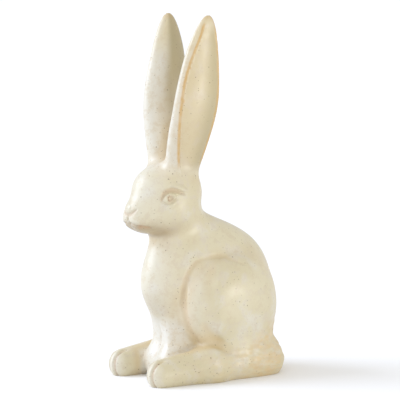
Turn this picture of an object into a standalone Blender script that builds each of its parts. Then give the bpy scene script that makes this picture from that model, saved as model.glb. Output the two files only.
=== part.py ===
"""A seated hare with tall upright ears, cast as one piece in glazed stoneware.

The figure is built the way a modeller builds up clay. Every form is a field that is negative inside
it, forms are pressed together with a soft union whose radius is the fillet between them, and grooves
are pressed in with a tool. The surface where the field is zero is then meshed.

The hare faces -Y, stands on Z = 0 and is symmetrical about X = 0.
Sizes and places are in heights, shares of FIGURE_HEIGHT, unless their name says otherwise.
"""

import bmesh
import bpy
import numpy as np

# Driving dimensions, in metres.
FIGURE_HEIGHT = 0.40  # from the table to the tips of the ears
MESH_CELL = 0.0019  # grid that the surface is first drawn on

FACE_BUDGET = 9800  # triangles left once the plain stretches are thinned out

# Fillets between neighbouring forms.
SOFT = 0.060
FIRM = 0.030
CRISP = 0.012

TINY = 1e-6  # keeps a division off nought at the middle of a form


# Curves and soft unions


def spline(knots, values):
    """A smooth curve through the values at the knots, held level beyond the ends."""
    knots, values = np.array(knots, float), np.array(values, float)
    gaps = np.diff(knots)
    slopes = np.diff(values) / gaps
    system = np.eye(len(knots))
    right = np.zeros(len(knots))
    for i in range(1, len(knots) - 1):
        system[i, i - 1 : i + 2] = gaps[i - 1], 2 * (gaps[i - 1] + gaps[i]), gaps[i]
        right[i] = 6 * (slopes[i] - slopes[i - 1])
    bend = np.linalg.solve(system, right)

    def at(t):
        t = np.clip(t, knots[0], knots[-1])
        i = np.clip(np.searchsorted(knots, t, side="right") - 1, 0, len(gaps) - 1)
        a, b = (knots[i + 1] - t) / gaps[i], (t - knots[i]) / gaps[i]
        straight = a * values[i] + b * values[i + 1]
        curved = (a**3 - a) * bend[i] + (b**3 - b) * bend[i + 1]
        return straight + curved * gaps[i] ** 2 / 6

    return at


def ramp(t, low, high):
    """0 below low, 1 above high and smooth between."""
    t = np.clip((t - low) / (high - low), 0, 1)
    return t * t * (3 - 2 * t)


def join(a, b, fillet):
    """Two forms pressed together, with a fillet between them."""
    near = np.maximum(fillet - np.abs(a - b), 0)
    return np.minimum(a, b) - near * near / (4 * fillet)


def ellipsoid(x, y, z, centre, radii, pitch=0.0):
    """An ellipsoid, tipped about X so that its front goes down with a positive pitch in degrees."""
    x, y, z = x - centre[0], y - centre[1], z - centre[2]
    c, s = np.cos(np.radians(pitch)), np.sin(np.radians(pitch))
    y, z = c * y + s * z, c * z - s * y
    near = np.sqrt((x / radii[0]) ** 2 + (y / radii[1]) ** 2 + (z / radii[2]) ** 2)
    steep = np.sqrt(
        (x / radii[0] ** 2) ** 2 + (y / radii[1] ** 2) ** 2 + (z / radii[2] ** 2) ** 2
    )
    return near * (near - 1) / np.maximum(steep, TINY)


def limb(x, y, z, start, end, start_radius, end_radius, height=1.0):
    """A round limb from start to end. Height stretches it upwards, about the table."""
    z = z / height
    ax, ay, az = start[0], start[1], start[2] / height
    bx, by, bz = end[0] - ax, end[1] - ay, end[2] / height - az
    x, y, z = x - ax, y - ay, z - az
    t = np.clip((x * bx + y * by + z * bz) / (bx * bx + by * by + bz * bz), 0, 1)
    away = np.sqrt((x - t * bx) ** 2 + (y - t * by) ** 2 + (z - t * bz) ** 2)
    return away - start_radius - t * (end_radius - start_radius)


# The forms


TORSO = (
    # height, front, back, half width
    (0.00, -0.090, 0.195, 0.095),
    (0.12, -0.128, 0.206, 0.105),
    (0.20, -0.181, 0.202, 0.106),
    (0.28, -0.201, 0.190, 0.104),
    (0.36, -0.179, 0.156, 0.090),
    (0.42, -0.158, 0.067, 0.070),
    (0.45, -0.143, -0.002, 0.061),
    (0.52, -0.110, -0.060, 0.040),
)


def torso(x, y, z):
    """Chest, back and neck as a stack of oval sections, one at each height."""
    heights, *outline = zip(*TORSO)
    front, back, half = [spline(heights, line)(z) for line in outline]
    depth = (back - front) / 2
    y = y - (back + front) / 2
    near = np.sqrt((x / half) ** 2 + (y / depth) ** 2)
    steep = np.sqrt((x / half**2) ** 2 + (y / depth**2) ** 2)
    sides = near * (near - 1) / np.maximum(steep, TINY)
    return np.maximum(sides, z - heights[-1])


def head(x, y, z):
    side = np.abs(x)
    skull = ellipsoid(x, y, z, (0, -0.114, 0.510), (0.074, 0.090, 0.084))
    brow = ellipsoid(x, y, z, (0, -0.162, 0.520), (0.051, 0.061, 0.052))
    cheek = ellipsoid(side, y, z, (0.040, -0.132, 0.460), (0.038, 0.070, 0.054), 6)
    snout = ellipsoid(x, y, z, (0, -0.182, 0.464), (0.046, 0.062, 0.046))
    lip = ellipsoid(side, y, z, (0.019, -0.214, 0.447), (0.029, 0.036, 0.030))
    nose = ellipsoid(x, y, z, (0, -0.222, 0.473), (0.031, 0.026, 0.019))
    chin = ellipsoid(x, y, z, (0, -0.185, 0.433), (0.034, 0.048, 0.026))
    face = join(join(lip, nose, CRISP), chin, CRISP)
    return join(join(join(skull, brow, SOFT), cheek, FIRM), join(snout, face, FIRM), FIRM)


EAR = (
    # height, sideways, forward, half width squared
    (0.50, 0.036, -0.108, 0.0012),
    (0.57, 0.043, -0.104, 0.0024),
    (0.63, 0.054, -0.097, 0.0035),
    (0.75, 0.080, -0.083, 0.0047),
    (0.88, 0.089, -0.070, 0.0029),
    (1.00, 0.103, -0.058, 0.0),
)

# Thickness over width: outwards, inwards, and how much stouter the ear's foot is.
EAR_OUTWARDS = 0.36
EAR_INWARDS = 0.58
EAR_FOOT_STOUTER = 0.35

# How fast the ear's field goes on rising past its tip, and the least slope that it is taken to have.
EAR_PAST_TIP = 0.03
EAR_LEAST_SLOPE = 0.02


def ear_places(x, y, z):
    """Where a point is on the ear: how far outwards, how far across, the half width and its square."""
    heights, *lines = zip(*EAR)
    middle_x, middle_y, wide = [spline(heights, line)(z) for line in lines]
    wide = np.where(z < 1, wide, (1 - z) * EAR_PAST_TIP)
    return x - middle_x, y - middle_y, np.sqrt(np.maximum(wide, TINY)), wide


def ear(x, y, z):
    """A leaf, swelling inwards. Carving dishes the side that faces outwards."""
    outward, across, _, wide = ear_places(x, y, z)
    stout = 1 + EAR_FOOT_STOUTER * (1 - ramp(z, 0.56, 0.76))
    swell = np.where(outward > 0, EAR_OUTWARDS, EAR_INWARDS) * stout
    leaf = across**2 + (outward / swell) ** 2 - wide
    slope = 4 * across**2 + 4 * (outward / swell**2) ** 2 + EAR_LEAST_SLOPE**2
    return leaf / np.sqrt(slope)


HAUNCH_CENTRE = (0.072, 0.020, 0.206)
HAUNCH_RADII = (0.077, 0.148, 0.142)
HAUNCH_EDGE = 2.6  # 2 is an ellipsoid's edge, and more is fuller
HAUNCH_SLOPE = 0.09  # how fast its field rises, about the mean of its radii


def haunch(x, y, z):
    """A cushion: a fuller edge than an ellipsoid's."""
    x, y, z = [(t - c) / r for t, c, r in zip((x, y, z), HAUNCH_CENTRE, HAUNCH_RADII)]
    near = (np.sqrt(y * y + z * z) ** HAUNCH_EDGE + np.abs(x) ** HAUNCH_EDGE) ** (1 / HAUNCH_EDGE)
    return (near - 1) * HAUNCH_SLOPE


TOE, INSTEP, HEEL = (0.101, -0.211, 0.030), (0.106, -0.05, 0.042), (0.090, 0.145, 0.040)
FOOT_HEIGHT = 1.15  # height over width


def hind_foot(x, y, z):
    front = limb(x, y, z, TOE, INSTEP, 0.037, 0.047, FOOT_HEIGHT)
    rear = limb(x, y, z, INSTEP, HEEL, 0.047, 0.048, FOOT_HEIGHT)
    return join(front, rear, FIRM)


def foreleg(x, y, z):
    leg = limb(x, y, z, (0.026, -0.070, 0.26), (0.024, -0.104, 0.03), 0.044, 0.040)
    paw = ellipsoid(x, y, z, (0.036, -0.124, 0.042), (0.040, 0.044, 0.054))
    return join(leg, paw, CRISP)


def forelegs(x, y, z):
    """Both forelegs, grown together along the middle."""
    return join(foreleg(x, y, z), foreleg(-x, y, z), SOFT)


def tail(x, y, z):
    return ellipsoid(x, y, z, (0, 0.198, 0.043), (0.045, 0.046, 0.052))


def figure(x, y, z):
    """The whole hare. Negative inside."""
    side = np.abs(x)
    body = join(torso(x, y, z), forelegs(x, y, z), FIRM)
    thigh_fillet = CRISP + (SOFT - CRISP) * ramp(y, 0.02, 0.14)
    body = join(body, haunch(side, y, z), thigh_fillet)
    ankle_fillet = CRISP + (SOFT - CRISP) * ramp(y, -0.06, 0.06) * (1 - ramp(y, 0.12, 0.20))
    body = join(body, hind_foot(side, y, z), ankle_fillet)
    body = join(body, tail(x, y, z), CRISP)
    top = join(head(x, y, z), ear(side, y, z), FIRM)
    return join(body, top, FIRM)


# Carving. Each line is one stroke of the tool: its width, how deep it goes (below 0 it is raised
# instead) and the places that it runs through. Both halves of the hare get the same strokes.

FROM_THE_SIDE = (
    # places as (forward, height): the fold under the brow and the ridge of the brow
    (
        (0.0098, 0.0074),
        ((-0.1845, 0.495), (-0.1830, 0.506), (-0.1770, 0.5185), (-0.1655, 0.5270)),
        ((-0.1490, 0.527), (-0.1310, 0.5215), (-0.1130, 0.5135)),
    ),
    ((0.0110, -0.0036), ((-0.1620, 0.539), (-0.1460, 0.539), (-0.1240, 0.531), (-0.1080, 0.522))),
    # the ball of the eye, the lower lid and the fold between them
    ((0.0150, -0.0056), ((-0.1780, 0.5015), (-0.1630, 0.508), (-0.1420, 0.511))),
    (
        (0.0065, -0.0026),
        ((-0.1863, 0.4930), (-0.1719, 0.4868), (-0.1560, 0.4900), (-0.1381, 0.503)),
    ),
    (
        (0.0048, 0.0026),
        ((-0.1845, 0.4985), (-0.1715, 0.4930), (-0.1580, 0.4958), (-0.1425, 0.508)),
    ),
    # in front of the haunch, behind the shin, above the foot, over the haunch
    (
        (0.0130, 0.0050),
        ((-0.0560, 0.338), (-0.0890, 0.326), (-0.1110, 0.300), (-0.1235, 0.264), (-0.1275, 0.228)),
        ((-0.1255, 0.190), (-0.1130, 0.148), (-0.0880, 0.112), (-0.0780, 0.098)),
    ),
    (
        (0.0340, 0.0050),
        ((-0.0400, 0.330), (-0.0620, 0.290), (-0.0720, 0.240), (-0.0745, 0.195), (-0.0680, 0.155)),
        ((-0.0480, 0.116), (-0.0200, 0.092)),
    ),
    (
        (0.0300, 0.0042),
        ((-0.0900, 0.172), (-0.0780, 0.140), (-0.0570, 0.116), (-0.0260, 0.094), (0.0000, 0.084)),
    ),
    (
        (0.0130, 0.0028),
        ((-0.0760, 0.332), (-0.0380, 0.341), (-0.0060, 0.341), (0.0130, 0.331), (0.0600, 0.313)),
    ),
    # the fold along the foot and the creases of the neck
    (
        (0.0140, -0.0030),
        ((-0.1500, 0.038), (-0.1200, 0.044), (-0.0900, 0.047), (-0.0700, 0.060), (-0.0560, 0.076)),
    ),
    ((0.0080, 0.0010), ((-0.1760, 0.3590), (-0.1600, 0.3735), (-0.1440, 0.3800))),
    ((0.0075, 0.0008), ((-0.1660, 0.3500), (-0.1530, 0.3620), (-0.1400, 0.3660))),
)

FROM_THE_FRONT = (
    # places as (sideways, height): the nose and its lower edge
    ((0.0140, -0.0020), ((-0.010, 0.480), (0.000, 0.481), (0.014, 0.478))),
    ((0.0080, 0.0058), ((-0.012, 0.4620), (0.004, 0.4610), (0.019, 0.465), (0.0330, 0.4800))),
    # the cleft below it, the mouth and its corner
    ((0.0062, 0.0062), ((0.000, 0.4660), (0.000, 0.4500), (0.000, 0.4330))),
    ((0.0062, 0.0058), ((-0.010, 0.4390), (0.012, 0.4365), (0.026, 0.4335), (0.0420, 0.4260))),
    ((0.0110, 0.0060), ((0.0310, 0.4325), (0.0400, 0.4270), (0.0470, 0.4245))),
    # the parting between the forelegs
    ((0.0060, 0.0026), ((0.000, 0.150), (0.000, 0.100), (0.000, 0.050))),
)

PUPIL = (-0.1620, 0.5058)  # forward, height
PUPIL_RADIUS = 0.0098
PUPIL_FLOOR = 0.45  # of the radius is as deep as the pupil goes
PUPIL_DEPTH = 0.0060

DISH_DEPTH = 0.0062
DISH_TILT = 0.0018  # how much shallower the dish is at its back rim
DISH_EDGE = 0.007  # width of the step down into the dish
DISH_BACK = 0.95  # back rim, as a share of the ear's half width

TOE_GROOVES = (0.089, 0.113)  # sideways
TOE_GROOVE_DEPTH = 0.006
TOE_GROOVE_WIDTH = 0.007

STROKE_STEPS = 18
OUTSIDE = 0.30  # clear of the figure on every side
SEAT_ROUNDS = 60
SEAT_STEP = 0.7  # share of the field's value that the tool goes on by in each round


def bump(t):
    """1 at 0, falling smoothly to 0 at 1."""
    return np.clip(1 - t * t, 0, 1) ** 2


def seated(u, v, sideways):
    """Where a tool that comes from the side, or else from the front, first meets the figure."""
    near = np.full(u.shape, OUTSIDE)
    for _ in range(SEAT_ROUNDS):
        value = figure(near, u, v) if sideways else figure(u, -near, v)
        near = near - SEAT_STEP * value
    return np.stack([near, u, v] if sideways else [u, -near, v], 1)


def laid_paths():
    """Every stroke as its width, its depth and its path over the figure's surface."""
    paths = []
    for strokes, sideways in ((FROM_THE_SIDE, True), (FROM_THE_FRONT, False)):
        for (width, deep), *stretches in strokes:
            places = [place for stretch in stretches for place in stretch]
            lines = [spline(range(len(places)), line) for line in zip(*places)]
            u, v = [line(np.linspace(0, len(places) - 1, STROKE_STEPS)) for line in lines]
            paths.append((width, deep, seated(u, v, sideways)))
    return paths


PATHS = laid_paths()
PUPIL_PLACE = seated(*np.array([PUPIL]).T, True)[0]


def nearest(x, y, z, path):
    """How far each point is from the path, and how far along it the nearest place is, 0 to 1."""
    away = np.full(x.shape, np.inf)
    along = np.zeros(x.shape)
    for i, (start, end) in enumerate(zip(path, path[1:])):
        run = end - start
        dx, dy, dz = x - start[0], y - start[1], z - start[2]
        t = np.clip((dx * run[0] + dy * run[1] + dz * run[2]) / (run @ run), 0, 1)
        far = np.sqrt((dx - t * run[0]) ** 2 + (dy - t * run[1]) ** 2 + (dz - t * run[2]) ** 2)
        closer = far < away
        away = np.where(closer, far, away)
        along = np.where(closer, i + t, along)
    return away, along / (len(path) - 1)


def pressed(x, y, z, path, width):
    """1 along the path, fading to 0 at the width and running out at both ends."""
    mark = np.zeros(x.shape)
    low, high = path.min(0) - width, path.max(0) + width
    near = np.ones(x.shape, bool)
    for line, least, most in zip((x, y, z), low, high):
        near &= (line > least) & (line < most)
    if near.any():
        away, along = nearest(x[near], y[near], z[near], path)
        swell = 0.25 + 0.75 * np.sin(np.pi * along) ** 0.7
        mark[near] = ramp(along * (1 - along), 0, 0.10) * bump(away / (width * swell))
    return mark


def dish_front(z):
    """Front rim of the dish, as a share of the ear's half width."""
    return spline((0.56, 0.63, 0.75, 0.88, 0.95), (-0.42, -0.62, -0.80, -0.74, -0.50))(z)


def ear_dish(outward, share, half, z):
    """1 in the hollow of the ear and 0 outside it."""
    front = dish_front(z)
    edge = DISH_EDGE / half
    dish = ramp(share, front, front + edge) * (1 - ramp(share, DISH_BACK - edge, DISH_BACK))
    return dish * ramp(outward / half, -0.05, 0.10) * ramp(z, 0.56, 0.61) * (1 - ramp(z, 0.94, 0.98))


def pupil_places(side, y, z):
    """How far each point is from the middle of the pupil, in radii."""
    return limb(side, y, z, PUPIL_PLACE, PUPIL_PLACE + (0.05, 0, 0), 0, 0) / PUPIL_RADIUS


def toe_marks(side, y, z):
    """1 in the grooves between the toes."""
    marks = [bump((side - at) / TOE_GROOVE_WIDTH) for at in TOE_GROOVES]
    return sum(marks) * ramp(-y, 0.19, 0.225) * ramp(0.09 - z, 0, 0.01)


def carving(x, y, z):
    side = np.abs(x)
    outward, across, half, _ = ear_places(side, y, z)
    share = across / half
    depth = ear_dish(outward, share, half, z) * (DISH_DEPTH - DISH_TILT * share)
    depth = depth + TOE_GROOVE_DEPTH * toe_marks(side, y, z)
    depth = depth + PUPIL_DEPTH * (1 - ramp(pupil_places(side, y, z), PUPIL_FLOOR, 1))
    for width, deep, path in PATHS:
        depth = depth + deep * pressed(side, y, z, path, width)
    return depth


def shape(x, y, z):
    """The figure with its carving."""
    return figure(x, y, z) + carving(x, y, z)


# Meshing

REACH = ((-0.20, 0.20), (-0.29, 0.29), (-0.02, 1.03))


def grid_axes(cell):
    """Grid lines that are symmetrical about X = 0."""
    return [
        np.arange(np.floor(low / cell), np.ceil(high / cell) + 1) * cell + (cell / 2 if i == 0 else 0)
        for i, (low, high) in enumerate(REACH)
    ]


def draw_surface(field, cell):
    """Points and four-sided faces of the surface, one point in each grid cell that it crosses."""
    axes = grid_axes(cell)
    x, y, z = np.meshgrid(*axes, indexing="ij", sparse=True)
    value = field(x, y, z)
    inside = value < 0
    shape_of_cells = tuple(n - 1 for n in value.shape)
    total = np.zeros(shape_of_cells + (3,), np.float32)
    count = np.zeros(shape_of_cells, np.int32)

    def part(array, offset):
        return array[tuple(slice(o, o + n) for o, n in zip(offset, shape_of_cells))]

    corners = [np.array(c) for c in np.ndindex(2, 2, 2)]
    for start in corners:
        for axis in range(3):
            if start[axis]:
                continue
            end = start.copy()
            end[axis] = 1
            a, b = part(value, start), part(value, end)
            crosses = (a < 0) != (b < 0)
            share = np.where(crosses, a / np.where(crosses, a - b, 1), 0)
            for k in range(3):
                total[..., k] += crosses * (share if k == axis else start[k])
            count += crosses
    used = count > 0
    number = np.full(shape_of_cells, -1, np.int64)
    number[used] = np.arange(used.sum())
    cells = np.argwhere(used)
    points = (cells + total[used] / count[used][:, None]) * cell
    points += np.array([axis[0] for axis in axes])
    faces = []
    for axis in range(3):
        u, v = (axis + 1) % 3, (axis + 2) % 3
        low = [slice(1, n) for n in shape_of_cells]
        low[axis] = slice(0, shape_of_cells[axis])
        high = list(low)
        high[axis] = slice(1, shape_of_cells[axis] + 1)
        a, b = inside[tuple(low)], inside[tuple(high)]
        at = np.argwhere(a != b)
        flips = a[a != b]
        at[:, u] += 1
        at[:, v] += 1
        ring = []
        for du, dv in ((1, 1), (0, 1), (0, 0), (1, 0)):
            c = at.copy()
            c[:, u] -= du
            c[:, v] -= dv
            ring.append(number[tuple(c.T)])
        ring = np.stack(ring, 1)
        ring[~flips] = ring[~flips][:, ::-1]
        faces.append(ring)
    return points, np.concatenate(faces)


SLOPE_STEP = 1 / 8  # of a grid cell
LEAST_SLOPE_SQUARED = 0.05  # so that a flat place in a field doesn't throw a point far


def slope_of(field, points, step):
    """The field's slope at each point."""
    return np.stack(
        [
            (field(*(points + step * axis).T) - field(*(points - step * axis).T)) / (2 * step)
            for axis in np.eye(3)
        ],
        1,
    )


def settle(points, field, cell, rounds=3):
    """Moves each point along the field's slope until it lies on the surface."""
    for _ in range(rounds):
        value = field(*points.T)
        slope = slope_of(field, points, cell * SLOPE_STEP)
        move = value / np.maximum((slope**2).sum(1), LEAST_SLOPE_SQUARED)
        points = points - np.clip(move, -cell, cell)[:, None] * slope
    return points


def sole(bm):
    """Cuts the figure off flat at the table and closes it."""
    parts = bm.verts[:] + bm.edges[:] + bm.faces[:]
    bmesh.ops.bisect_plane(
        bm, geom=parts, plane_co=(0, 0, 0), plane_no=(0, 0, -1), clear_outer=True
    )
    rim = [e for e in bm.edges if e.is_boundary]
    bmesh.ops.contextual_create(bm, geom=rim)


def glaze():
    material = bpy.data.materials.new("cream_glaze")
    material.use_nodes = True
    shader = material.node_tree.nodes["Principled BSDF"]
    shader.inputs["Base Color"].default_value = (0.78, 0.72, 0.58, 1)
    shader.inputs["Roughness"].default_value = 0.3
    return material


def clear_scene():
    for obj in list(bpy.data.objects):
        bpy.data.objects.remove(obj)


def hare(cell, budget):
    points, faces = draw_surface(figure, cell / FIGURE_HEIGHT)
    points = settle(points, shape, cell / FIGURE_HEIGHT)
    points[:, 1] -= (points[:, 1].min() + points[:, 1].max()) / 2
    mesh = bpy.data.meshes.new("hare_figure")
    mesh.from_pydata((points * FIGURE_HEIGHT).tolist(), [], faces.tolist())
    bm = bmesh.new()
    bm.from_mesh(mesh)
    sole(bm)
    bmesh.ops.triangulate(bm, faces=bm.faces)
    bm.to_mesh(mesh)
    bm.free()
    mesh.shade_smooth()
    obj = bpy.data.objects.new("hare_figure", mesh)
    bpy.context.scene.collection.objects.link(obj)
    obj.data.materials.append(glaze())
    if budget:
        thin = obj.modifiers.new("thin out", "DECIMATE")
        thin.ratio = budget / len(mesh.polygons)
        thin.use_symmetry = True
        thin.symmetry_axis = "X"
    return obj


clear_scene()
FIGURE = hare(MESH_CELL, FACE_BUDGET)
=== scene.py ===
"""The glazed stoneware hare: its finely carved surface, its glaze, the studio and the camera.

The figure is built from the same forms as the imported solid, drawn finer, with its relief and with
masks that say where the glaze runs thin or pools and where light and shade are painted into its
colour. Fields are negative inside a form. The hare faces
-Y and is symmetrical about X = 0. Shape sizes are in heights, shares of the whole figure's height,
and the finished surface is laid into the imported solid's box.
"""

import bmesh
import bpy
import numpy as np
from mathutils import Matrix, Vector, noise


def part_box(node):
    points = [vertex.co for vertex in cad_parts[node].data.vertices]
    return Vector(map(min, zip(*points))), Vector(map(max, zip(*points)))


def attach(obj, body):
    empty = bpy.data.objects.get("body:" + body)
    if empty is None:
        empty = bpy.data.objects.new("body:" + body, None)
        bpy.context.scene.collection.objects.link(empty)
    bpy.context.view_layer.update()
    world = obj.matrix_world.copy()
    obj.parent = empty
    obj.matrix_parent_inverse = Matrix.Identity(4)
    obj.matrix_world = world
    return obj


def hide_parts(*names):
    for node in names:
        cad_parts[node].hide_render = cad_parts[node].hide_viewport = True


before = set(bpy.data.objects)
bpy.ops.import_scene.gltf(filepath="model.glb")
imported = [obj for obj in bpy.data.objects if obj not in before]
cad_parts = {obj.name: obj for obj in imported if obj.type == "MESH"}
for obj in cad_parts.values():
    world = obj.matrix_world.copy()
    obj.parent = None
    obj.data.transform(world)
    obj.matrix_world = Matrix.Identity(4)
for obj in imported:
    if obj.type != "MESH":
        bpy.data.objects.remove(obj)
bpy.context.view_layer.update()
NODE_LOW, NODE_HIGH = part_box("hare_figure")
HEIGHT = NODE_HIGH.z - NODE_LOW.z

# Grid that the surface is first drawn on, in heights.
CELL = 0.00475

# Fillets between neighbouring forms.
SOFT = 0.060
FIRM = 0.030
CRISP = 0.012

TINY = 1e-6  # keeps a division off nought at the middle of a form


# Curves and soft unions


def spline(knots, values):
    """A smooth curve through the values at the knots, held level beyond the ends."""
    knots, values = np.array(knots, float), np.array(values, float)
    gaps = np.diff(knots)
    slopes = np.diff(values) / gaps
    system = np.eye(len(knots))
    right = np.zeros(len(knots))
    for i in range(1, len(knots) - 1):
        system[i, i - 1 : i + 2] = gaps[i - 1], 2 * (gaps[i - 1] + gaps[i]), gaps[i]
        right[i] = 6 * (slopes[i] - slopes[i - 1])
    bend = np.linalg.solve(system, right)

    def at(t):
        t = np.clip(t, knots[0], knots[-1])
        i = np.clip(np.searchsorted(knots, t, side="right") - 1, 0, len(gaps) - 1)
        a, b = (knots[i + 1] - t) / gaps[i], (t - knots[i]) / gaps[i]
        straight = a * values[i] + b * values[i + 1]
        curved = (a**3 - a) * bend[i] + (b**3 - b) * bend[i + 1]
        return straight + curved * gaps[i] ** 2 / 6

    return at


def ramp(t, low, high):
    """0 below low, 1 above high and smooth between."""
    t = np.clip((t - low) / (high - low), 0, 1)
    return t * t * (3 - 2 * t)


def join(a, b, fillet):
    """Two forms pressed together, with a fillet between them."""
    near = np.maximum(fillet - np.abs(a - b), 0)
    return np.minimum(a, b) - near * near / (4 * fillet)


def ellipsoid(x, y, z, centre, radii, pitch=0.0):
    """An ellipsoid, tipped about X so that its front goes down with a positive pitch in degrees."""
    x, y, z = x - centre[0], y - centre[1], z - centre[2]
    c, s = np.cos(np.radians(pitch)), np.sin(np.radians(pitch))
    y, z = c * y + s * z, c * z - s * y
    near = np.sqrt((x / radii[0]) ** 2 + (y / radii[1]) ** 2 + (z / radii[2]) ** 2)
    steep = np.sqrt(
        (x / radii[0] ** 2) ** 2 + (y / radii[1] ** 2) ** 2 + (z / radii[2] ** 2) ** 2
    )
    return near * (near - 1) / np.maximum(steep, TINY)


def limb(x, y, z, start, end, start_radius, end_radius, height=1.0):
    """A round limb from start to end. Height stretches it upwards, about the table."""
    z = z / height
    ax, ay, az = start[0], start[1], start[2] / height
    bx, by, bz = end[0] - ax, end[1] - ay, end[2] / height - az
    x, y, z = x - ax, y - ay, z - az
    t = np.clip((x * bx + y * by + z * bz) / (bx * bx + by * by + bz * bz), 0, 1)
    away = np.sqrt((x - t * bx) ** 2 + (y - t * by) ** 2 + (z - t * bz) ** 2)
    return away - start_radius - t * (end_radius - start_radius)


# The forms


TORSO = (
    # height, front, back, half width
    (0.00, -0.090, 0.195, 0.095),
    (0.12, -0.128, 0.206, 0.105),
    (0.20, -0.181, 0.202, 0.106),
    (0.28, -0.201, 0.190, 0.104),
    (0.36, -0.179, 0.156, 0.090),
    (0.42, -0.158, 0.067, 0.070),
    (0.45, -0.143, -0.002, 0.061),
    (0.52, -0.110, -0.060, 0.040),
)


def torso(x, y, z):
    """Chest, back and neck as a stack of oval sections, one at each height."""
    heights, *outline = zip(*TORSO)
    front, back, half = [spline(heights, line)(z) for line in outline]
    depth = (back - front) / 2
    y = y - (back + front) / 2
    near = np.sqrt((x / half) ** 2 + (y / depth) ** 2)
    steep = np.sqrt((x / half**2) ** 2 + (y / depth**2) ** 2)
    sides = near * (near - 1) / np.maximum(steep, TINY)
    return np.maximum(sides, z - heights[-1])


def head(x, y, z):
    side = np.abs(x)
    skull = ellipsoid(x, y, z, (0, -0.114, 0.510), (0.074, 0.090, 0.084))
    brow = ellipsoid(x, y, z, (0, -0.162, 0.520), (0.051, 0.061, 0.052))
    cheek = ellipsoid(side, y, z, (0.040, -0.132, 0.460), (0.038, 0.070, 0.054), 6)
    snout = ellipsoid(x, y, z, (0, -0.182, 0.464), (0.046, 0.062, 0.046))
    lip = ellipsoid(side, y, z, (0.019, -0.214, 0.447), (0.029, 0.036, 0.030))
    nose = ellipsoid(x, y, z, (0, -0.222, 0.473), (0.031, 0.026, 0.019))
    chin = ellipsoid(x, y, z, (0, -0.185, 0.433), (0.034, 0.048, 0.026))
    face = join(join(lip, nose, CRISP), chin, CRISP)
    return join(join(join(skull, brow, SOFT), cheek, FIRM), join(snout, face, FIRM), FIRM)


EAR = (
    # height, sideways, forward, half width squared
    (0.50, 0.036, -0.108, 0.0012),
    (0.57, 0.043, -0.104, 0.0024),
    (0.63, 0.054, -0.097, 0.0035),
    (0.75, 0.080, -0.083, 0.0047),
    (0.88, 0.089, -0.070, 0.0029),
    (1.00, 0.103, -0.058, 0.0),
)

# Thickness over width: outwards, inwards, and how much stouter the ear's foot is.
EAR_OUTWARDS = 0.36
EAR_INWARDS = 0.58
EAR_FOOT_STOUTER = 0.35
EAR_STOUT_HEIGHTS = (0.56, 0.76)  # heights over which that wears off

# How fast the ear's field goes on rising past its tip, and the least slope that it is taken to have.
EAR_PAST_TIP = 0.03
EAR_LEAST_SLOPE = 0.02


def ear_places(x, y, z):
    """Where a point is on the ear: how far outwards, how far across, the half width and its square."""
    heights, *lines = zip(*EAR)
    middle_x, middle_y, wide = [spline(heights, line)(z) for line in lines]
    wide = np.where(z < 1, wide, (1 - z) * EAR_PAST_TIP)
    return x - middle_x, y - middle_y, np.sqrt(np.maximum(wide, TINY)), wide


def ear(x, y, z):
    """A leaf, swelling inwards. Carving dishes the side that faces outwards."""
    outward, across, _, wide = ear_places(x, y, z)
    stout = 1 + EAR_FOOT_STOUTER * (1 - ramp(z, *EAR_STOUT_HEIGHTS))
    swell = np.where(outward > 0, EAR_OUTWARDS, EAR_INWARDS) * stout
    leaf = across**2 + (outward / swell) ** 2 - wide
    slope = 4 * across**2 + 4 * (outward / swell**2) ** 2 + EAR_LEAST_SLOPE**2
    return leaf / np.sqrt(slope)


HAUNCH_CENTRE = (0.072, 0.020, 0.206)
HAUNCH_RADII = (0.077, 0.148, 0.142)
HAUNCH_EDGE = 2.6  # 2 is an ellipsoid's edge, and more is fuller
HAUNCH_SLOPE = 0.09  # how fast its field rises, about the mean of its radii


def haunch(x, y, z):
    """A cushion: a fuller edge than an ellipsoid's."""
    x, y, z = [(t - c) / r for t, c, r in zip((x, y, z), HAUNCH_CENTRE, HAUNCH_RADII)]
    near = (np.sqrt(y * y + z * z) ** HAUNCH_EDGE + np.abs(x) ** HAUNCH_EDGE) ** (1 / HAUNCH_EDGE)
    return (near - 1) * HAUNCH_SLOPE


TOE, INSTEP, HEEL = (0.101, -0.211, 0.030), (0.106, -0.05, 0.042), (0.090, 0.145, 0.040)
FOOT_HEIGHT = 1.15  # height over width


def hind_foot(x, y, z):
    front = limb(x, y, z, TOE, INSTEP, 0.037, 0.047, FOOT_HEIGHT)
    rear = limb(x, y, z, INSTEP, HEEL, 0.047, 0.048, FOOT_HEIGHT)
    return join(front, rear, FIRM)


def foreleg(x, y, z):
    leg = limb(x, y, z, (0.026, -0.070, 0.26), (0.024, -0.104, 0.03), 0.044, 0.040)
    paw = ellipsoid(x, y, z, (0.036, -0.124, 0.042), (0.040, 0.044, 0.054))
    return join(leg, paw, CRISP)


def forelegs(x, y, z):
    """Both forelegs, grown together along the middle."""
    return join(foreleg(x, y, z), foreleg(-x, y, z), SOFT)


def tail(x, y, z):
    return ellipsoid(x, y, z, (0, 0.198, 0.043), (0.045, 0.046, 0.052))


def figure(x, y, z):
    """The whole hare. Negative inside."""
    side = np.abs(x)
    body = join(torso(x, y, z), forelegs(x, y, z), FIRM)
    thigh_fillet = CRISP + (SOFT - CRISP) * ramp(y, 0.02, 0.14)
    body = join(body, haunch(side, y, z), thigh_fillet)
    ankle_fillet = CRISP + (SOFT - CRISP) * ramp(y, -0.06, 0.06) * (1 - ramp(y, 0.12, 0.20))
    body = join(body, hind_foot(side, y, z), ankle_fillet)
    body = join(body, tail(x, y, z), CRISP)
    top = join(head(x, y, z), ear(side, y, z), FIRM)
    return join(body, top, FIRM)


# Carving. Each line is one stroke of the tool: its width, how deep it goes (below 0 it is raised
# instead) and the places that it runs through. Both halves of the hare get the same strokes.

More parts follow.
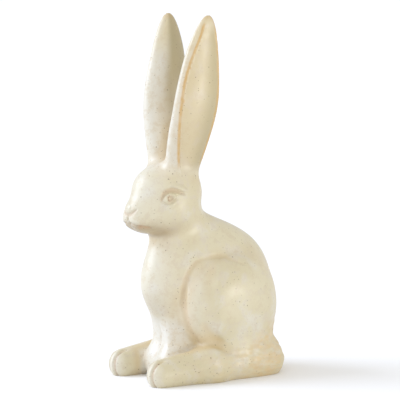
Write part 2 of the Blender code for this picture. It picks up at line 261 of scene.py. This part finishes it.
FROM_THE_SIDE = (
    # places as (forward, height): the fold under the brow and the ridge of the brow
    (
        (0.0098, 0.0074),
        ((-0.1845, 0.495), (-0.1830, 0.506), (-0.1770, 0.5185), (-0.1655, 0.5270)),
        ((-0.1490, 0.527), (-0.1310, 0.5215), (-0.1130, 0.5135)),
    ),
    ((0.0110, -0.0036), ((-0.1620, 0.539), (-0.1460, 0.539), (-0.1240, 0.531), (-0.1080, 0.522))),
    # the ball of the eye, the lower lid and the fold between them
    ((0.0150, -0.0056), ((-0.1780, 0.5015), (-0.1630, 0.508), (-0.1420, 0.511))),
    (
        (0.0065, -0.0026),
        ((-0.1863, 0.4930), (-0.1719, 0.4868), (-0.1560, 0.4900), (-0.1381, 0.503)),
    ),
    (
        (0.0048, 0.0026),
        ((-0.1845, 0.4985), (-0.1715, 0.4930), (-0.1580, 0.4958), (-0.1425, 0.508)),
    ),
    # in front of the haunch, behind the shin, above the foot, over the haunch
    (
        (0.0130, 0.0050),
        ((-0.0560, 0.338), (-0.0890, 0.326), (-0.1110, 0.300), (-0.1235, 0.264), (-0.1275, 0.228)),
        ((-0.1255, 0.190), (-0.1130, 0.148), (-0.0880, 0.112), (-0.0780, 0.098)),
    ),
    (
        (0.0340, 0.0050),
        ((-0.0400, 0.330), (-0.0620, 0.290), (-0.0720, 0.240), (-0.0745, 0.195), (-0.0680, 0.155)),
        ((-0.0480, 0.116), (-0.0200, 0.092)),
    ),
    (
        (0.0300, 0.0042),
        ((-0.0900, 0.172), (-0.0780, 0.140), (-0.0570, 0.116), (-0.0260, 0.094), (0.0000, 0.084)),
    ),
    (
        (0.0130, 0.0028),
        ((-0.0760, 0.332), (-0.0380, 0.341), (-0.0060, 0.341), (0.0130, 0.331), (0.0600, 0.313)),
    ),
    # the fold along the foot and the creases of the neck
    (
        (0.0140, -0.0030),
        ((-0.1500, 0.038), (-0.1200, 0.044), (-0.0900, 0.047), (-0.0700, 0.060), (-0.0560, 0.076)),
    ),
    ((0.0080, 0.0010), ((-0.1760, 0.3590), (-0.1600, 0.3735), (-0.1440, 0.3800))),
    ((0.0075, 0.0008), ((-0.1660, 0.3500), (-0.1530, 0.3620), (-0.1400, 0.3660))),
)

FROM_THE_FRONT = (
    # places as (sideways, height): the nose and its lower edge
    ((0.0140, -0.0020), ((-0.010, 0.480), (0.000, 0.481), (0.014, 0.478))),
    ((0.0080, 0.0058), ((-0.012, 0.4620), (0.004, 0.4610), (0.019, 0.465), (0.0330, 0.4800))),
    # the cleft below it, the mouth and its corner
    ((0.0062, 0.0062), ((0.000, 0.4660), (0.000, 0.4500), (0.000, 0.4330))),
    ((0.0062, 0.0058), ((-0.010, 0.4390), (0.012, 0.4365), (0.026, 0.4335), (0.0420, 0.4260))),
    ((0.0110, 0.0060), ((0.0310, 0.4325), (0.0400, 0.4270), (0.0470, 0.4245))),
    # the parting between the forelegs
    ((0.0060, 0.0026), ((0.000, 0.150), (0.000, 0.100), (0.000, 0.050))),
)

PUPIL = (-0.1620, 0.5058)  # forward, height
PUPIL_RADIUS = 0.0098
PUPIL_FLOOR = 0.45  # of the radius is as deep as the pupil goes
PUPIL_DEPTH = 0.0060
PUPIL_BORE = (0.05, 0, 0)  # the way it goes in from the side, and farther than it goes

DISH_DEPTH = 0.0062
DISH_TILT = 0.0018  # how much shallower the dish is at its back rim
DISH_EDGE = 0.007  # width of the step down into the dish
DISH_BACK = 0.95  # back rim, as a share of the ear's half width

TOE_GROOVES = (0.089, 0.113)  # sideways
TOE_GROOVE_DEPTH = 0.006
TOE_GROOVE_WIDTH = 0.007

STROKE_STEPS = 18
OUTSIDE = 0.30  # clear of the figure on every side
SEAT_ROUNDS = 60
SEAT_STEP = 0.7  # share of the field's value that the tool goes on by in each round

# A stroke's width at its ends as a share of its full width, how soon it is full, and where it runs out.
STROKE_END_WIDTH = 0.25
STROKE_FULLNESS = 0.7
STROKE_RUN_OUT = 0.10


def bump(t):
    """1 at 0, falling smoothly to 0 at 1."""
    return np.clip(1 - t * t, 0, 1) ** 2


def seated(u, v, sideways):
    """Where a tool that comes from the side, or else from the front, first meets the figure."""
    near = np.full(u.shape, OUTSIDE)
    for _ in range(SEAT_ROUNDS):
        value = figure(near, u, v) if sideways else figure(u, -near, v)
        near = near - SEAT_STEP * value
    return np.stack([near, u, v] if sideways else [u, -near, v], 1)


def laid_paths():
    """Every stroke as its width, its depth and its path over the figure's surface."""
    paths = []
    for strokes, sideways in ((FROM_THE_SIDE, True), (FROM_THE_FRONT, False)):
        for (width, deep), *stretches in strokes:
            places = [place for stretch in stretches for place in stretch]
            lines = [spline(range(len(places)), line) for line in zip(*places)]
            u, v = [line(np.linspace(0, len(places) - 1, STROKE_STEPS)) for line in lines]
            paths.append((width, deep, seated(u, v, sideways)))
    return paths


PATHS = laid_paths()
PUPIL_PLACE = seated(*np.array([PUPIL]).T, True)[0]


def nearest(x, y, z, path):
    """How far each point is from the path, and how far along it the nearest place is, 0 to 1."""
    away = np.full(x.shape, np.inf)
    along = np.zeros(x.shape)
    for i, (start, end) in enumerate(zip(path, path[1:])):
        run = end - start
        dx, dy, dz = x - start[0], y - start[1], z - start[2]
        t = np.clip((dx * run[0] + dy * run[1] + dz * run[2]) / (run @ run), 0, 1)
        far = np.sqrt((dx - t * run[0]) ** 2 + (dy - t * run[1]) ** 2 + (dz - t * run[2]) ** 2)
        closer = far < away
        away = np.where(closer, far, away)
        along = np.where(closer, i + t, along)
    return away, along / (len(path) - 1)


def pressed(x, y, z, path, width):
    """1 along the path, fading to 0 at the width and running out at both ends."""
    mark = np.zeros(x.shape)
    low, high = path.min(0) - width, path.max(0) + width
    near = np.ones(x.shape, bool)
    for line, least, most in zip((x, y, z), low, high):
        near &= (line > least) & (line < most)
    if near.any():
        away, along = nearest(x[near], y[near], z[near], path)
        swell = STROKE_END_WIDTH + (1 - STROKE_END_WIDTH) * np.sin(np.pi * along) ** STROKE_FULLNESS
        fade = ramp(along * (1 - along), 0, STROKE_RUN_OUT)
        mark[near] = fade * bump(away / (width * swell))
    return mark


def dish_front(z):
    """Front rim of the dish, as a share of the ear's half width."""
    return spline((0.56, 0.63, 0.75, 0.88, 0.95), (-0.42, -0.62, -0.80, -0.74, -0.50))(z)


def ear_dish(outward, share, half, z):
    """1 in the hollow of the ear and 0 outside it."""
    front = dish_front(z)
    edge = DISH_EDGE / half
    dish = ramp(share, front, front + edge) * (1 - ramp(share, DISH_BACK - edge, DISH_BACK))
    return dish * ramp(outward / half, -0.05, 0.10) * ramp(z, 0.56, 0.61) * (1 - ramp(z, 0.94, 0.98))


def pupil_places(side, y, z):
    """How far each point is from the middle of the pupil, in radii."""
    return limb(side, y, z, PUPIL_PLACE, PUPIL_PLACE + PUPIL_BORE, 0, 0) / PUPIL_RADIUS


def toe_marks(side, y, z):
    """1 in the grooves between the toes."""
    marks = [bump((side - at) / TOE_GROOVE_WIDTH) for at in TOE_GROOVES]
    return sum(marks) * ramp(-y, 0.19, 0.225) * ramp(0.09 - z, 0, 0.01)


def carving(x, y, z):
    side = np.abs(x)
    outward, across, half, _ = ear_places(side, y, z)
    share = across / half
    depth = ear_dish(outward, share, half, z) * (DISH_DEPTH - DISH_TILT * share)
    depth = depth + TOE_GROOVE_DEPTH * toe_marks(side, y, z)
    depth = depth + PUPIL_DEPTH * (1 - ramp(pupil_places(side, y, z), PUPIL_FLOOR, 1))
    for width, deep, path in PATHS:
        depth = depth + deep * pressed(side, y, z, path, width)
    return depth


def shape(x, y, z):
    """The figure with its carving."""
    return figure(x, y, z) + carving(x, y, z)


# Meshing

REACH = ((-0.20, 0.20), (-0.29, 0.29), (-0.02, 1.03))


def grid_axes(cell):
    """Grid lines that are symmetrical about X = 0."""
    return [
        np.arange(np.floor(low / cell), np.ceil(high / cell) + 1) * cell + (cell / 2 if i == 0 else 0)
        for i, (low, high) in enumerate(REACH)
    ]


def draw_surface(field, cell):
    """Points and four-sided faces of the surface, one point in each grid cell that it crosses."""
    axes = grid_axes(cell)
    x, y, z = np.meshgrid(*axes, indexing="ij", sparse=True)
    value = field(x, y, z)
    inside = value < 0
    shape_of_cells = tuple(n - 1 for n in value.shape)
    total = np.zeros(shape_of_cells + (3,), np.float32)
    count = np.zeros(shape_of_cells, np.int32)

    def part(array, offset):
        return array[tuple(slice(o, o + n) for o, n in zip(offset, shape_of_cells))]

    corners = [np.array(c) for c in np.ndindex(2, 2, 2)]
    for start in corners:
        for axis in range(3):
            if start[axis]:
                continue
            end = start.copy()
            end[axis] = 1
            a, b = part(value, start), part(value, end)
            crosses = (a < 0) != (b < 0)
            share = np.where(crosses, a / np.where(crosses, a - b, 1), 0)
            for k in range(3):
                total[..., k] += crosses * (share if k == axis else start[k])
            count += crosses
    used = count > 0
    number = np.full(shape_of_cells, -1, np.int64)
    number[used] = np.arange(used.sum())
    cells = np.argwhere(used)
    points = (cells + total[used] / count[used][:, None]) * cell
    points += np.array([axis[0] for axis in axes])
    faces = []
    for axis in range(3):
        u, v = (axis + 1) % 3, (axis + 2) % 3
        low = [slice(1, n) for n in shape_of_cells]
        low[axis] = slice(0, shape_of_cells[axis])
        high = list(low)
        high[axis] = slice(1, shape_of_cells[axis] + 1)
        a, b = inside[tuple(low)], inside[tuple(high)]
        at = np.argwhere(a != b)
        flips = a[a != b]
        at[:, u] += 1
        at[:, v] += 1
        ring = []
        for du, dv in ((1, 1), (0, 1), (0, 0), (1, 0)):
            c = at.copy()
            c[:, u] -= du
            c[:, v] -= dv
            ring.append(number[tuple(c.T)])
        ring = np.stack(ring, 1)
        ring[~flips] = ring[~flips][:, ::-1]
        faces.append(ring)
    return points, np.concatenate(faces)


SLOPE_STEP = 1 / 8  # of a grid cell
LEAST_SLOPE_SQUARED = 0.05  # so that a flat place in a field doesn't throw a point far


def slope_of(field, points, step):
    """The field's slope at each point."""
    return np.stack(
        [
            (field(*(points + step * axis).T) - field(*(points - step * axis).T)) / (2 * step)
            for axis in np.eye(3)
        ],
        1,
    )


def settle(points, field, cell, rounds=3):
    """Moves each point along the field's slope until it lies on the surface."""
    for _ in range(rounds):
        value = field(*points.T)
        slope = slope_of(field, points, cell * SLOPE_STEP)
        move = value / np.maximum((slope**2).sum(1), LEAST_SLOPE_SQUARED)
        points = points - np.clip(move, -cell, cell)[:, None] * slope
    return points


def mesh_points(bm):
    return np.array([v.co for v in bm.verts])


def move_points(bm, points):
    for vert, point in zip(bm.verts, points):
        vert.co = point


FACE_BACK, FACE_HEIGHTS = -0.11, (0.41, 0.545)
PLAIN_BROW = (0.02, -0.19)  # half width and front of the plain strip between the eyes
TOES_BACK, TOES_TOP, TOES_INSIDE = -0.18, 0.085, 0.07
RIM_BAND = 0.012  # half width of the finer band along the rim of an ear
RIM_HEIGHTS = (0.57, 0.97)
RIM_INWARDS = -0.01


def within(t, limits):
    return (t > limits[0]) & (t < limits[1])


def needs_detail(points):
    """Which points lie where the carving is finest: eyes, nose, mouth, toes and ear rims."""
    x, y, z = points.T
    side = np.abs(x)
    plain = (side < PLAIN_BROW[0]) & (y > PLAIN_BROW[1])
    face = (y < FACE_BACK) & within(z, FACE_HEIGHTS) & ~plain
    toes = (y < TOES_BACK) & (z < TOES_TOP) & (side > TOES_INSIDE)
    outward, share, half, _ = on_ear(points)
    rim = np.abs(share - dish_front(z)) * half < RIM_BAND
    ears = rim & (outward > RIM_INWARDS) & within(z, RIM_HEIGHTS)
    return face | toes | ears


def refine(bm, wanted):
    """Splits the faces between the wanted points into four."""
    bm.verts.ensure_lookup_table()
    edges = [e for e in bm.edges if wanted[e.verts[0].index] and wanted[e.verts[1].index]]
    bmesh.ops.subdivide_edges(bm, edges=edges, cuts=1, use_grid_fill=True)


def sole(bm):
    """Cuts the figure off flat at the table and closes it."""
    parts = bm.verts[:] + bm.edges[:] + bm.faces[:]
    bmesh.ops.bisect_plane(
        bm, geom=parts, plane_co=(0, 0, 0), plane_no=(0, 0, -1), clear_outer=True
    )
    rim = [e for e in bm.edges if e.is_boundary]
    bmesh.ops.contextual_create(bm, geom=rim)


def laid_in_box(points):
    """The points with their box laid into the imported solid's box."""
    low, high = points.min(0), points.max(0)
    share = (points - low) / (high - low)
    return np.array(NODE_LOW) + share * np.array(NODE_HIGH - NODE_LOW)


# Marks: how much of each change in the glaze, and of the painted light and shade, every point shows, 0 to
# 1


def on_ear(points):
    """How far outwards a point is on its ear, its share of the half width, the half width, the height."""
    x, y, z = points.T
    outward, across, half, _ = ear_places(np.abs(x), y, z)
    return outward, across / half, half, z


def facing(points):
    """The way that the surface faces at each point."""
    slope = slope_of(figure, points, CELL / 4)
    return slope / np.linalg.norm(slope, axis=1)[:, None]


RIM_WIDTH = 0.0070  # of the amber line on the ears
RIM_STRENGTH = 1.5  # above 1, so that part of the line's width has its full colour
TIP_STRENGTH = 0.3


def rim_mark(points):
    """The sharp rims of the ears, where the glaze runs off and the clay warms it."""
    outward, share, half, z = on_ear(points)
    outer = ramp(outward / half, -0.16, 0.0) * ramp(z, 0.575, 0.62)
    front = RIM_STRENGTH * bump((share - dish_front(z)) * half / RIM_WIDTH)
    front = front * (1 - ramp(z, 0.965, 0.985))
    back = ramp(share, 0.80, 0.90)
    tip = TIP_STRENGTH * ramp(z, 0.980, 0.996)
    return np.clip(np.maximum(front, back) * outer + tip, 0, 1)


def between_ears(points):
    """The rear of the sides of the ears that face each other, towards their tips, where each ear shades
    the other.
    """
    outward, share, half, z = on_ear(points)
    inner = (1 - ramp(outward / half, -0.2, 0.0)) * ramp(share, -0.5, 0.05)
    return inner * ramp(z, 0.66, 0.86)


def hollow_shade_mark(points):
    """Painted shade in the hollows of the ears, growing towards their back rims, and between them."""
    outward, share, half, z = on_ear(points)
    dish = ear_dish(outward, share, half, z) * ramp(share, -0.2, 0.8)
    return np.maximum(dish, between_ears(points))


FUR_TOP = (0.06, 0.12)  # heights over which the rough clay gives way to smooth
FUR_RISE = 0.07  # how much higher it reaches at the back
FUR_ON_FOOT = 0.35  # how rough the foot is beside the heel


def fur_mark(points):
    """The clay that is left rough like fur: along the feet, over the heels and on the tail."""
    x, y, z = points.T
    low = 1 - ramp(z - FUR_RISE * ramp(y, 0.0, 0.20), *FUR_TOP)
    foot = FUR_ON_FOOT * ramp(y, -0.16, -0.06)
    heel = (1 - FUR_ON_FOOT) * ramp(y, -0.04, 0.10)
    return low * (foot + heel)


GROOVE_TINT = 0.55  # depth over width at which a groove takes its full colour
GROOVE_TINT_POWER = 3  # the higher, the less a shallow groove takes
GROOVE_EDGE_POWER = 1.5  # the higher, the narrower the colour lies in a groove
BROAD = (0.0045, 0.0098)  # widths between which a groove takes more pooled glaze colour and, at its broadest, painted shade
NARROW_SHARE = 0.2  # of that glaze is in the narrowest grooves

TOE_TINT = 0.7
TOE_TINT_POWER = 3

PUPIL_RING = (0.7, 0.35)  # middle and half width of the darker ring, in radii
PUPIL_RING_BEHIND = 0.35  # its strength at the back of the pupil, over that in front
PUPIL_MIDDLE = 0.3

MOUTH_CORNER = seated(*np.array([(0.0375, 0.4285)]).T, False)[0]
MOUTH_CORNER_REACH = 0.0125  # of the pooled glaze colour and painted shade in it


def stroke_tint(width, deep):
    """How strongly the glaze in a stroke of this width and depth is coloured."""
    steep = min(deep / (GROOVE_TINT * width), 1) ** GROOVE_TINT_POWER
    return steep * (NARROW_SHARE + (1 - NARROW_SHARE) * ramp(width, *BROAD))


def pupil_mark(side, y, z):
    """The pupil's ring, darkest in front as painted shade on the pit's shaded wall, and its paler middle.
    """
    away = pupil_places(side, y, z)
    ahead = ramp((PUPIL_PLACE[1] - y) / PUPIL_RADIUS, -0.3, 0.6)
    strength = PUPIL_RING_BEHIND + (1 - PUPIL_RING_BEHIND) * ahead
    ring = bump((away - PUPIL_RING[0]) / PUPIL_RING[1]) * strength
    return np.maximum(ring, PUPIL_MIDDLE * (1 - ramp(away, 0.5, 0.7)))


def groove_mark(points):
    """The bottom of the carved grooves, where the glaze pools over the clay; the strongest of it, in the
    broad grooves, the mouth's corner and the pupil's ring, also takes painted shade.
    """
    x, y, z = points.T
    side = np.abs(x)
    mark = TOE_TINT * toe_marks(side, y, z) ** TOE_TINT_POWER
    for width, deep, path in PATHS:
        if deep > 0:
            press = pressed(side, y, z, path, width) ** GROOVE_EDGE_POWER
            mark = np.maximum(mark, stroke_tint(width, deep) * press)
    mark = np.maximum(mark, pupil_mark(side, y, z))
    corner = np.linalg.norm(np.stack([side, y, z], 1) - MOUTH_CORNER, axis=1)
    return np.maximum(mark, bump(corner / MOUTH_CORNER_REACH))


def on_paws(points):
    """The forepaws and the lowest part of the forelegs."""
    x, y, z = points.T
    forward = ramp(-y, 0.06, 0.10) * (1 - ramp(-y, 0.165, 0.185))
    return forward * (1 - ramp(np.abs(x), 0.070, 0.090)) * (1 - ramp(z, 0.14, 0.22))


SHELTER_REACHES = (0.015, 0.035, 0.070)  # how far out the shelter of a place is felt
SHELTER_LIMITS = (0.12, 0.60)  # shares of those ways out that are shut, from no tint to full
PAWS_SPARED = 0.6  # of that painted shade is kept off the white forepaws


def shelter_shade_mark(points):
    """Painted shade where other forms stand close in front of the surface, as under the jaw."""
    out = facing(points)
    shut = [1 - figure(*(points + reach * out).T) / reach for reach in SHELTER_REACHES]
    sheltered = ramp(sum(shut) / len(shut), *SHELTER_LIMITS)
    return sheltered * (1 - PAWS_SPARED * on_paws(points))


UNDER_STEEPNESS = (0.0, 0.75)  # how far down the surface faces, from no tint to full
UNDER_HEIGHTS = (0.10, 0.30)  # below these the table lights the surface from under
UNDER_NEAR_TABLE = 0.08  # share of the tint that is left there
UNDER_BETWEEN_EARS = 0.5


def under_shade_mark(points):
    """Painted shade where the surface faces down, as under the jaw, and less strongly between the ears."""
    down = ramp(-facing(points)[:, 2], *UNDER_STEEPNESS)
    down = down * (UNDER_NEAR_TABLE + (1 - UNDER_NEAR_TABLE) * ramp(points[:, 2], *UNDER_HEIGHTS))
    return np.maximum(down, UNDER_BETWEEN_EARS * between_ears(points))


LIGHT_FORWARD, LIGHT_EARS = 0.50, 0.85  # strengths, over that on the forepaws
LIGHT_FACING = (0.1, 0.9)  # how far forward the surface faces, from no tint to full


def painted_light_mark(points):
    """Painted light: a whiter colour on the ears, on the forepaws and on what faces forward, in place of
    the lamps' light.
    """
    forward = ramp(-facing(points)[:, 1], *LIGHT_FACING)
    outward, share, half, z = on_ear(points)
    ears = ramp(z, 0.55, 0.60) * (1 - ramp(z, 0.85, 0.97))
    ears = ears * (1 - ear_dish(outward, share, half, z))
    return np.maximum(np.maximum(LIGHT_FORWARD * forward, LIGHT_EARS * ears), on_paws(points))


MARKS = {
    "rim": rim_mark,
    "hollow": hollow_shade_mark,
    "fur": fur_mark,
    "groove": groove_mark,
    "shelter": shelter_shade_mark,
    "under": under_shade_mark,
    "painted_light": painted_light_mark,
}


# The clay's unevenness: lumps to a height and how far they stand proud.
SWELL_SCALE, SWELL_HEIGHT = 16.0, 0.0007
LUMP_SCALE, LUMP_HEIGHT = 75.0, 0.0031
COMBED = np.array((1.0, 0.45, 1.0))  # the lumps are drawn out along the feet
LUMP_ROUGHNESS, LUMP_SPACING, LUMP_LAYERS = 1.0, 2.0, 3

TABLE_MARGIN = 0.02  # height over which the unevenness dies away towards the table


def unevenness(points, fur):
    """How far the hand-worked clay stands proud of the true forms, with combed lumps where it is furry."""
    swell, lump = [], []
    for point in points:
        swell.append(noise.noise(Vector(point) * SWELL_SCALE))
        place = Vector(point * COMBED) * LUMP_SCALE
        lump.append(noise.fractal(place, LUMP_ROUGHNESS, LUMP_SPACING, LUMP_LAYERS))
    return SWELL_HEIGHT * np.array(swell) + LUMP_HEIGHT * fur * np.array(lump)


def roughen(points, fur):
    """The points moved out or in by the clay's unevenness, but left at rest on the table."""
    rise = unevenness(points, fur) * ramp(points[:, 2], 0.0, TABLE_MARGIN)
    return points + rise[:, None] * facing(points)


def glazed_hare():
    points, faces = draw_surface(figure, CELL)
    points = settle(points, shape, CELL)
    mesh = bpy.data.meshes.new("glazed_hare")
    mesh.from_pydata(points.tolist(), [], faces.tolist())
    bm = bmesh.new()
    bm.from_mesh(mesh)
    refine(bm, needs_detail(points))
    move_points(bm, settle(mesh_points(bm), shape, CELL / 2))
    sole(bm)
    points = mesh_points(bm)
    marks = {name: mark(points) for name, mark in MARKS.items()}
    move_points(bm, laid_in_box(roughen(points, marks["fur"])))
    bm.to_mesh(mesh)
    bm.free()
    for name, mark in marks.items():
        mesh.attributes.new(name, "FLOAT", "POINT").data.foreach_set("value", mark.astype(np.float32))
    mesh.shade_smooth()
    obj = bpy.data.objects.new("glazed_hare", mesh)
    bpy.context.scene.collection.objects.link(obj)
    return obj


# Materials


class Nodes:
    """A new material's node tree, with a short call for each kind of node."""

    def __init__(self, name):
        self.material = bpy.data.materials.new(name)
        self.material.use_nodes = True
        self.tree = self.material.node_tree
        self.shader = self.tree.nodes["Principled BSDF"]

    def add(self, kind, values=(), **settings):
        """A node with these settings. Values are put on its inputs, as numbers or as links."""
        node = self.tree.nodes.new("ShaderNode" + kind)
        for setting, value in settings.items():
            setattr(node, setting, value)
        for socket, value in dict(values).items():
            self.put(node.inputs[socket], value)
        return node

    def put(self, socket, value):
        if isinstance(value, bpy.types.NodeSocket):
            self.tree.links.new(value, socket)
        else:
            socket.default_value = value

    def mark(self, name):
        return self.add("Attribute", attribute_name=name).outputs["Fac"]

    def grain(self, scale, detail=2.0, rough=0.5, squeeze=(1, 1, 1)):
        """Noise from 0 to 1, with this many lumps to the metre, times the squeeze along each axis."""
        place = self.add("TexCoord").outputs["Object"]
        place = self.add("VectorMath", {0: place, 1: squeeze}, operation="MULTIPLY").outputs[0]
        values = {"Vector": place, "Scale": scale, "Detail": detail, "Roughness": rough}
        return self.add("TexNoise", values).outputs["Fac"]

    def step(self, value, low, high, to=1.0):
        """0 where the value is below low and to where it is above high."""
        values = {"Value": value, "From Min": low, "From Max": high, "To Min": 0.0, "To Max": to}
        return self.add("MapRange", values, interpolation_type="SMOOTHSTEP").outputs["Result"]

    def times(self, a, b):
        return self.add("Math", {0: a, 1: b}, operation="MULTIPLY").outputs[0]

    def plus(self, a, b):
        return self.add("Math", {0: a, 1: b}, operation="ADD").outputs[0]

    def tint(self, base, colour, share):
        """The base colour with this share of another laid over it."""
        node = self.add("Mix", data_type="RGBA")
        self.put(node.inputs["Factor"], share)
        self.put(node.inputs[6], base)
        self.put(node.inputs[7], colour)
        return node.outputs[2]


# Glaze colours, linear, and the colours of painted light and shade
CREAM = (0.668, 0.604, 0.424, 1)
STRAW = (0.615, 0.542, 0.350, 1)
# MILK is both the glaze's white clouds and the painted light on what the lamps light
MILK = (0.720, 0.705, 0.655, 1)
BLUSH = (0.575, 0.470, 0.305, 1)
# painted shade in the ears' hollows and between the ears
HOLLOW_SHADE = (0.420, 0.380, 0.225, 1)
# TAN is the combed clay's streaks, and also painted shade where forms stand close
TAN = (0.660, 0.490, 0.250, 1)
# painted shade under the jaw, between the ears and in the deepest grooves
SHADE = (0.330, 0.235, 0.125, 1)
AMBER = (0.580, 0.355, 0.110, 1)
POOLED = (0.480, 0.300, 0.175, 1)
SPECK = (0.160, 0.095, 0.050, 1)


def specks(n, cells_to_metre, share, crowding, radius):
    """1 in round specks, in this share of the cells, thicker in some places than in others."""
    place = n.add("TexCoord").outputs["Object"]
    cells = n.add("TexVoronoi", {"Vector": place, "Scale": cells_to_metre})
    pick = n.add("SeparateColor", {"Color": cells.outputs["Color"]}).outputs[0]
    crowd = n.step(n.grain(24.0), 0.48, 0.68, crowding)
    chosen = n.step(n.plus(pick, crowd), 0.99 - share, 1.0 - share)
    dot = n.step(cells.outputs["Distance"], radius, 0.5 * radius)
    return n.times(chosen, dot)


def clouds(n, colour, other, share, grain, low, high):
    """The colour with clouds of another: none where the grain is below low, and this share above high."""
    return n.tint(colour, other, n.step(grain, low, high, share))


def marked(n, colour, other, mark, share):
    """The colour with this share of another where the mark is 1."""
    return n.tint(colour, other, n.times(n.mark(mark), share))


def ground(n):
    """The cream glaze of plain stretches, clouded with straw, white and a faint blush, with painted light
    whitening the ears, the forepaws and what faces forward.
    """
    colour = clouds(n, CREAM, STRAW, 0.85, n.grain(11.0, 3.0), 0.36, 0.64)
    colour = clouds(n, colour, MILK, 0.50, n.grain(60.0, 5.0, 0.7), 0.48, 0.64)
    # painted light: white where the surface faces forward, on the forepaws and on the ears
    colour = marked(n, colour, MILK, "painted_light", 0.80)
    return clouds(n, colour, BLUSH, 0.46, n.grain(120.0, 6.0, 0.8), 0.47, 0.61)


def furred(n, colour):
    """Tan streaks in the combed clay, with a little tan between them."""
    streaks = n.step(n.grain(170.0, 5.0, 0.65, tuple(COMBED)), 0.36, 0.66)
    return n.tint(colour, TAN, n.times(n.mark("fur"), n.plus(n.times(streaks, 0.65), 0.12)))


def rimmed(n, colour):
    """Amber along the rims, paler where the glaze lies a little thicker."""
    worn = n.step(n.grain(140.0, 3.0), 0.35, 0.60)
    return n.tint(colour, AMBER, n.times(n.mark("rim"), n.plus(n.times(worn, 0.22), 0.66)))


def speckled(n, colour):
    """Many small specks and a few larger ones."""
    colour = n.tint(colour, SPECK, n.times(specks(n, 420.0, 0.060, 0.16, 0.28), 0.55))
    return n.tint(colour, SPECK, n.times(specks(n, 270.0, 0.016, 0.14, 0.24), 0.66))


def glaze():
    n = Nodes("cream_glaze")
    # painted shade in the ears' hollows and between the ears
    colour = marked(n, ground(n), HOLLOW_SHADE, "hollow", 0.95)
    # painted shade where other forms stand close in front
    colour = marked(n, colour, TAN, "shelter", 0.50)
    # painted shade where the surface faces down
    colour = marked(n, colour, SHADE, "under", 0.62)
    colour = rimmed(n, furred(n, colour))
    colour = marked(n, colour, POOLED, "groove", 0.95)
    # painted shade in the deepest grooves, the mouth's corner and the pupil's ring
    colour = clouds(n, colour, SHADE, 0.75, n.mark("groove"), 0.60, 0.95)
    n.put(n.shader.inputs["Base Color"], speckled(n, colour))
    n.put(n.shader.inputs["Roughness"], n.plus(n.step(n.grain(60.0, 3.0), 0.3, 0.7, 0.10), 0.33))
    height = n.plus(n.times(n.grain(420.0, 3.0), 0.5), n.grain(110.0, 3.0))
    relief = n.add("Bump", {"Height": height, "Strength": 0.25, "Distance": 0.0008})
    n.put(n.shader.inputs["Normal"], relief.outputs["Normal"])
    n.shader.inputs["Coat Weight"].default_value = 0.12
    n.shader.inputs["Coat Roughness"].default_value = 0.22
    return n.material


def matt(name, colour):
    n = Nodes(name)
    n.shader.inputs["Base Color"].default_value = colour
    n.shader.inputs["Roughness"].default_value = 0.9
    return n.material


# Studio

CAMERA_AZIMUTH = 57.4  # degrees round from the hare's front to its left side
CAMERA_DISTANCE = 6.45 * HEIGHT
CAMERA_HEIGHT = 1.241 * HEIGHT
AIM_HEIGHT = 0.4855 * HEIGHT
AIM_ASIDE = -0.0113 * HEIGHT
LENS = 211.1
SENSOR = 36.0
FLOOR_REACH = 60.0
FLOOR_COLOUR = (0.95, 0.95, 0.95, 1)
DAYLIGHT = 0.82
KEY_COLOUR = (0.86, 0.96, 1.18)


def around(azimuth, distance, height):
    """A place at this azimuth round the hare, where 0 is in front of it and 90 at its left side."""
    turn = np.radians(azimuth)
    return Vector((np.sin(turn) * distance, -np.cos(turn) * distance, height))


def look(obj, target):
    obj.rotation_euler = (target - obj.location).to_track_quat("-Z", "Y").to_euler()


def camera():
    data = bpy.data.cameras.new("camera")
    data.sensor_width = SENSOR
    data.lens = LENS
    obj = bpy.data.objects.new("camera", data)
    bpy.context.scene.collection.objects.link(obj)
    obj.location = around(CAMERA_AZIMUTH, CAMERA_DISTANCE, CAMERA_HEIGHT)
    look(obj, around(CAMERA_AZIMUTH + 90, AIM_ASIDE, AIM_HEIGHT))
    bpy.context.scene.camera = obj


def softbox(name, azimuth, distance, height, size, power):
    data = bpy.data.lights.new(name, "AREA")
    data.size = size
    data.energy = power
    obj = bpy.data.objects.new(name, data)
    bpy.context.scene.collection.objects.link(obj)
    obj.location = around(azimuth, distance, height)
    look(obj, Vector((0, 0, HEIGHT / 2)))


def sun(name, azimuth, elevation, spread, strength, colour):
    """A distant soft light. The spread is its width in degrees."""
    data = bpy.data.lights.new(name, "SUN")
    data.angle = np.radians(spread)
    data.energy = strength
    data.color = colour
    obj = bpy.data.objects.new(name, data)
    bpy.context.scene.collection.objects.link(obj)
    obj.location = around(azimuth, np.cos(np.radians(elevation)), np.sin(np.radians(elevation)))
    look(obj, Vector((0, 0, 0)))


def floor():
    mesh = bpy.data.meshes.new("floor")
    bm = bmesh.new()
    bmesh.ops.create_grid(bm, x_segments=1, y_segments=1, size=FLOOR_REACH)
    bm.to_mesh(mesh)
    bm.free()
    obj = bpy.data.objects.new("floor", mesh)
    bpy.context.scene.collection.objects.link(obj)
    mesh.materials.append(matt("floor", FLOOR_COLOUR))


def daylight():
    world = bpy.data.worlds.new("studio")
    bpy.context.scene.world = world
    world.use_nodes = True
    background = world.node_tree.nodes["Background"]
    background.inputs["Color"].default_value = (1, 1, 1, 1)
    background.inputs["Strength"].default_value = DAYLIGHT


bpy.context.scene.view_settings.view_transform = "Standard"

hare = glazed_hare()
hare.data.materials.append(glaze())
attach(hare, "root")
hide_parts("hare_figure")

floor()
daylight()
sun("key", azimuth=-34, elevation=30, spread=44, strength=1.9, colour=KEY_COLOUR)
softbox("fill", azimuth=62, distance=2.2, height=1.25, size=0.6, power=4)
softbox("side", azimuth=118, distance=1.8, height=0.08, size=0.2, power=5)
camera()
